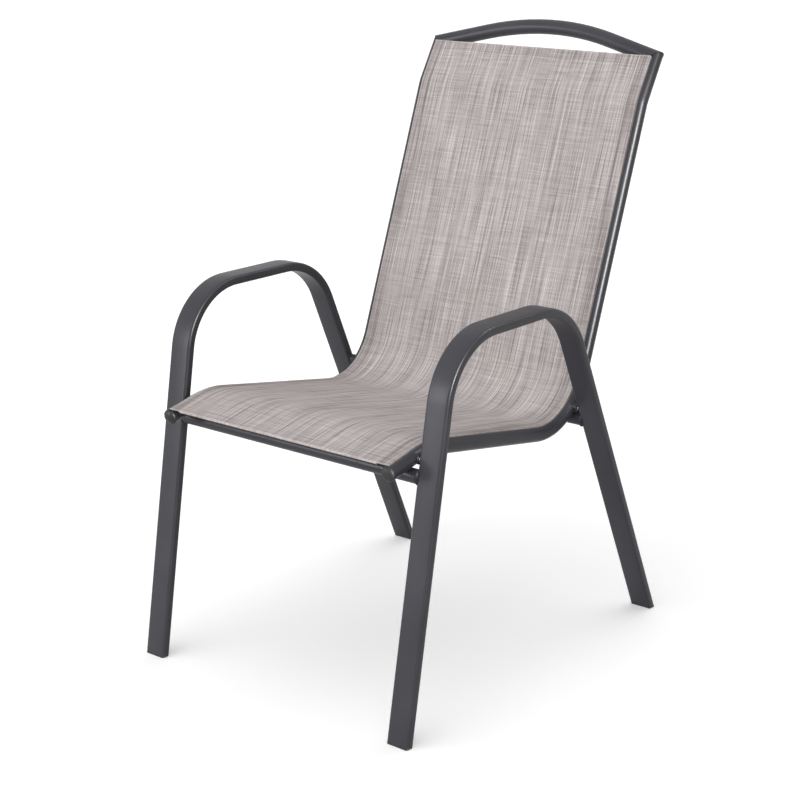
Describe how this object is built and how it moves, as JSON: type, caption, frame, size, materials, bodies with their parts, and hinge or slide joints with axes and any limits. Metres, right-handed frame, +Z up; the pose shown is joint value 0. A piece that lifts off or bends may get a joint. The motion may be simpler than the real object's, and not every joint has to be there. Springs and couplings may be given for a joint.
{
  "type": "sling patio chair",
  "caption": "Stacking outdoor armchair: flat bent-tube side loops, slotted side rails with a stretched mesh sling, arched top tube and crossbars.",
  "frame": {"origin": "on the floor, in the middle of the chair's overall width and depth", "axes": "+Z up, -Y towards the front of the seat, +X towards the sitter's left"},
  "size_m": [0.5676, 0.7496, 0.9825],
  "materials": {
    "frame_paint": "satin anthracite powder coat on steel tube",
    "sling_mesh": "matt woven vinyl-coated mesh with a linen look",
    "black_plastic": "moulded, satin",
    "rod_plastic": "extruded, plain",
    "zinc_steel": "bright zinc plate"
  },
  "bodies": {
    "root": {"side_loop_left": "frame_paint", "seat_rail_left": "frame_paint", "spline_left": "rod_plastic", "rail_end_cap_left": "black_plastic", "foot_cap_front_left": "black_plastic", "bolt_front_left": "zinc_steel", "washer_front_left": "zinc_steel", "threaded_insert_front_left": "zinc_steel", "spacer_front_left": "black_plastic", "foot_cap_rear_left": "black_plastic", "bolt_rear_left": "zinc_steel", "washer_rear_left": "zinc_steel", "threaded_insert_rear_left": "zinc_steel", "spacer_rear_left": "black_plastic", "side_loop_right": "frame_paint", "seat_rail_right": "frame_paint", "spline_right": "rod_plastic", "rail_end_cap_right": "black_plastic", "foot_cap_front_right": "black_plastic", "bolt_front_right": "zinc_steel", "washer_front_right": "zinc_steel", "threaded_insert_front_right": "zinc_steel", "spacer_front_right": "black_plastic", "foot_cap_rear_right": "black_plastic", "bolt_rear_right": "zinc_steel", "washer_rear_right": "zinc_steel", "threaded_insert_rear_right": "zinc_steel", "spacer_rear_right": "black_plastic", "front_crossbar": "frame_paint", "rear_crossbar": "frame_paint", "top_arch": "frame_paint", "sling": "sling_mesh"}
  },
  "joints": []
}
